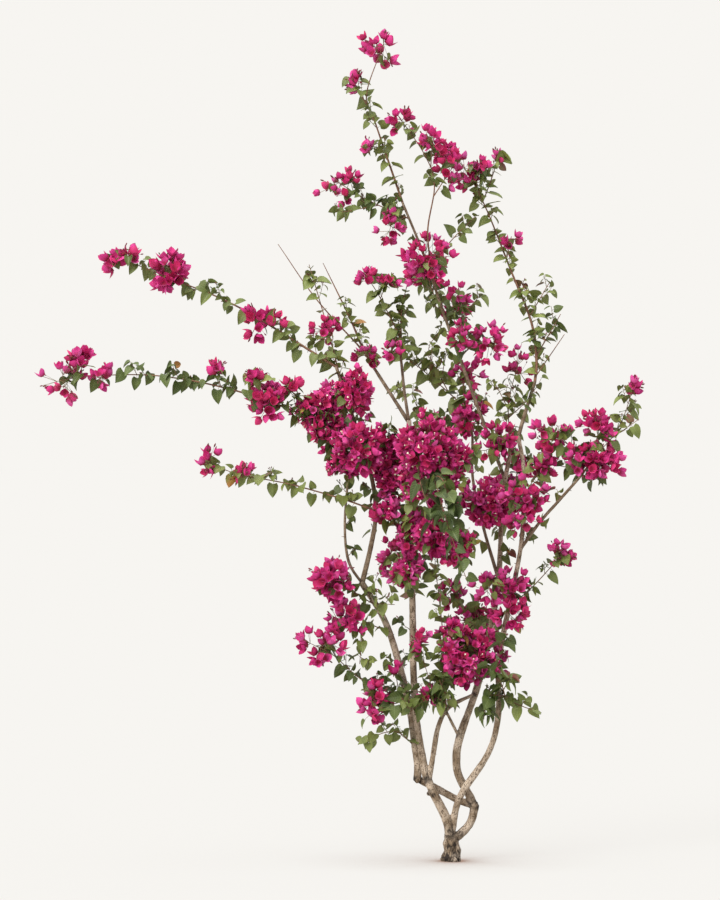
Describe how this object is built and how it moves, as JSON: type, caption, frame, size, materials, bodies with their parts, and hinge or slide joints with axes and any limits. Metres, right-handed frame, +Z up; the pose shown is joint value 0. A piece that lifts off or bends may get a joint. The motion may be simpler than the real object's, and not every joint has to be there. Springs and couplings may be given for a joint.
{
  "type": "bougainvillea bush",
  "caption": "Tall open flowering shrub on a short flared trunk: woven stems, long arching canes, heart-shaped leaves and trusses of magenta three-bract blooms.",
  "frame": {"origin": "centre of the flat cut under the trunk, at ground level", "axes": "+Z up, +X to the right of the broad side and -Y out of it, towards the viewer"},
  "size_m": [1.981, 1.0464, 2.7896],
  "materials": {
    "bark": "rough grey-beige bark",
    "foliage": "soft mid-green leaves",
    "blossom": "papery magenta bracts"
  },
  "bodies": {
    "root": {"trunk": "bark", "stem_left": "bark", "stem_right_foot": "bark", "stem_middle": "bark", "stem_cross": "bark", "stem_far_left": "bark", "stem_right_inner": "bark", "stem_centre": "bark", "stem_mid": "bark", "brace": "bark", "cane_right": "bark", "cane_tall": "bark", "bough_diagonal": "bark", "bough_vertical": "bark", "bough_left_inner": "bark", "bough_left_thin": "bark", "bough_right": "bark", "bough_inner": "bark", "bough_front": "bark", "bough_back": "bark", "tall_top": "blossom", "mid_top": "foliage", "right_top": "blossom", "upper_left": "blossom", "head_upper": "blossom", "upright": "blossom", "inner_top": "blossom", "tall_right": "blossom", "junction": "blossom", "spray_left_upper": "blossom", "left_upper_shoot": "blossom", "spray_left_middle": "blossom", "spray_left_lower": "blossom", "head_left_large": "blossom", "whips": "foliage", "head_left_low": "blossom", "head_centre_left": "blossom", "head_centre_front": "blossom", "front_hanging": "foliage", "head_under_left": "blossom", "head_under_right": "blossom", "head_right_mid": "blossom", "right_mid": "blossom", "right_spray": "blossom", "low_right": "blossom", "head_low": "blossom", "low_right_leaves": "foliage", "low_centre": "foliage", "low_left_high": "blossom", "low_left_mid": "blossom", "low_left_low": "blossom", "lowest_left": "foliage", "back_high": "blossom", "back_centre": "blossom", "back_left": "blossom", "back_right": "blossom", "back_low": "blossom", "back_left_low": "blossom"}
  },
  "joints": []
}
